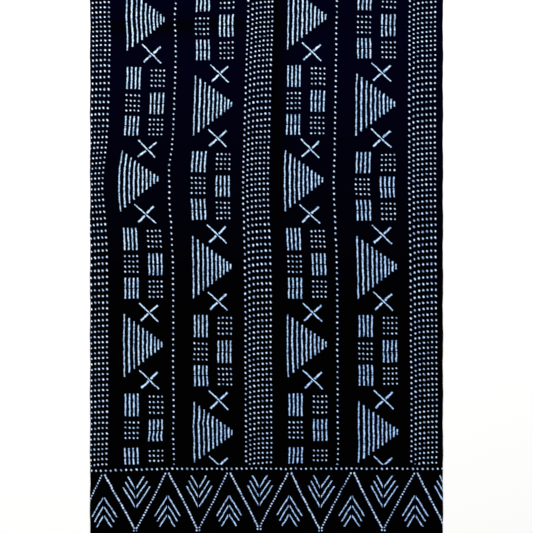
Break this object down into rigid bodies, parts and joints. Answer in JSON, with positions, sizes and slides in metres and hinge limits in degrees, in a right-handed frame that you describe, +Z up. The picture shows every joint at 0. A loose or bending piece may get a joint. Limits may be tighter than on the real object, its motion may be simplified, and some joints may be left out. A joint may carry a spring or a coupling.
{
  "type": "wax print fabric, cut length laid flat",
  "caption": "Cut length of indigo cotton cloth printed with pale striped triangles, squares, crosses, dotted bands and a zigzag border, lying face up in soft fold creases.",
  "frame": {"origin": "on the surface the cloth lies on, below the middle of its bounding box", "axes": "+X across the print, +Y from the bordered selvedge towards the far cut edge, +Z up from the cloth's face"},
  "size_m": [0.6441, 0.986, 0.009],
  "materials": {
    "printed_cotton": "matt woven cotton"
  },
  "bodies": {
    "root": {"printed_cloth": "printed_cotton"}
  },
  "joints": []
}
